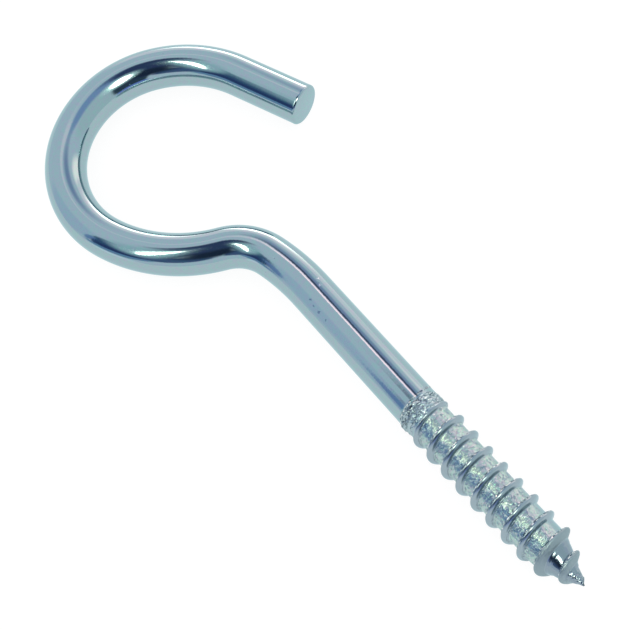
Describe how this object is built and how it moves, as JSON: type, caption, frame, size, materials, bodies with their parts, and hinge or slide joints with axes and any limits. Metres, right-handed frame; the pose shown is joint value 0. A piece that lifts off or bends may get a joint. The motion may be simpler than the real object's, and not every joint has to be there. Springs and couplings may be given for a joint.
{
  "type": "screw hook",
  "caption": "Open hook bent from round zinc-plated steel wire, with a coarse wood thread and a gimlet point on its straight shank.",
  "frame": {"origin": "on the screw axis, where the rolled thread begins", "axes": "+X along the screw axis towards the point, +Y in the plane of the bends towards the side that the cut end is on, +Z square to that plane, so the hook lies flat"},
  "size_m": [0.0984, 0.0395, 0.0068],
  "materials": {
    "zinc_plate": "bright zinc plate, cool grey with a faint green and pink cast, lightly scratched and pitted"
  },
  "bodies": {
    "root": {"screw_hook": "zinc_plate"}
  },
  "joints": []
}
